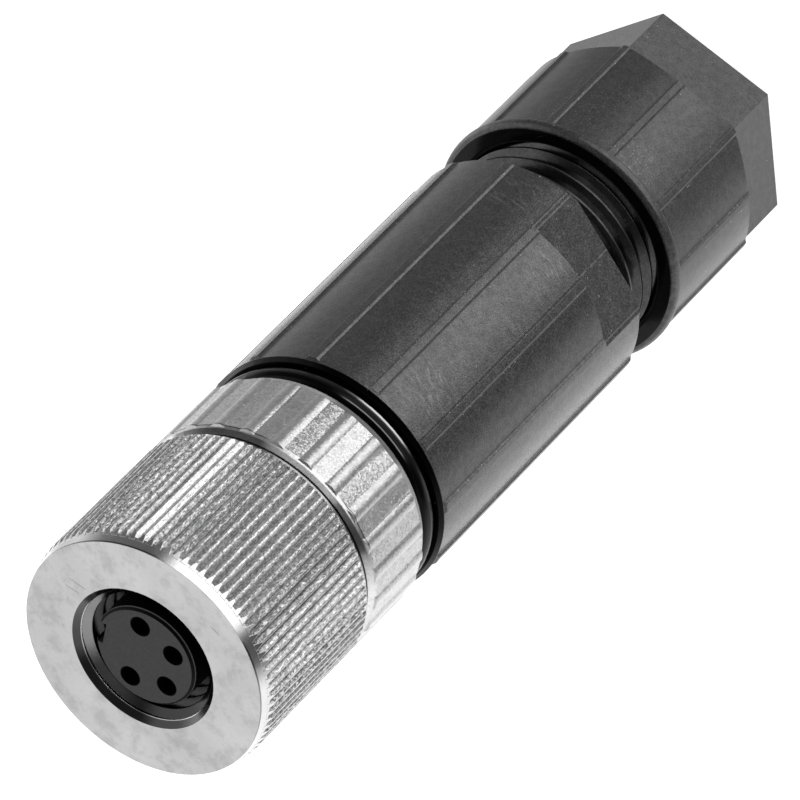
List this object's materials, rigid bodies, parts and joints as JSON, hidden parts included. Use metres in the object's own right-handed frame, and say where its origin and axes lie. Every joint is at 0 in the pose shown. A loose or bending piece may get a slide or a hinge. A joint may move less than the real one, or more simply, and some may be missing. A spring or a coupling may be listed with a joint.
{
  "type": "circular sensor connector",
  "caption": "Straight round M8 sensor connector for wiring in the field: knurled metal coupling nut, socket insert, ribbed plastic sleeve and hexagonal gland nut.",
  "frame": {"origin": "centre of the gland nut's rear face, on the connector's axis", "axes": "+Z along the axis from the gland nut to the mating face, -Y out of one of the sleeve's spanner flats"},
  "size_m": [0.0146, 0.0146, 0.052],
  "materials": {
    "nickel_plating": "bright nickel plating over cast metal, fine grain",
    "black_plastic": "fine-grained moulded plastic",
    "carrier_plastic": "smooth dull plastic",
    "seal_rubber": "glossy black rubber",
    "contact_gold": "gold plating",
    "screw_steel": "bright steel"
  },
  "bodies": {
    "gland_nut": {"gland_nut": "black_plastic"},
    "clamp_cage": {"clamp_cage": "black_plastic", "cable_seal": "seal_rubber"},
    "sleeve": {"sleeve": "black_plastic"},
    "neck_seal": {"neck_seal": "seal_rubber"},
    "head": {"connector_head": "nickel_plating", "contact_carrier": "carrier_plastic", "face_seal": "seal_rubber", "head_gasket": "seal_rubber", "terminal_block": "carrier_plastic", "contact_1": "contact_gold", "contact_2": "contact_gold", "contact_3": "contact_gold", "contact_4": "contact_gold", "terminal_screw_1": "screw_steel", "terminal_screw_2": "screw_steel", "terminal_screw_3": "screw_steel", "terminal_screw_4": "screw_steel"},
    "coupling_nut": {"coupling_nut": "nickel_plating"}
  },
  "joints": [
    {"name": "gland_turn", "type": "hinge", "parent": "gland_nut", "child": "clamp_cage", "pos_m": [0, 0, 0.01], "axis": [0, 0, 1], "range_deg": [-1080, 1080]},
    {"name": "gland_feed", "type": "slide", "parent": "clamp_cage", "child": "sleeve", "axis": [0, 0, 1], "range_m": [-0.003, 0.003]},
    {"name": "head_feed", "type": "slide", "parent": "sleeve", "child": "neck_seal", "axis": [0, 0, 1], "range_m": [0, 0.00375]},
    {"name": "head_turn", "type": "hinge", "parent": "neck_seal", "child": "head", "pos_m": [0, 0, 0.036], "axis": [0, 0, 1], "range_deg": [0, 1800]},
    {"name": "nut_spin", "type": "hinge", "parent": "head", "child": "coupling_nut", "pos_m": [0, 0, 0.047], "axis": [0, 0, 1], "continuous": true}
  ],
  "couplings": [
    {"joint": "gland_turn", "follows": "gland_feed", "rad_per_m": 6283.2},
    {"joint": "head_turn", "follows": "head_feed", "rad_per_m": 8377.6}
  ]
}
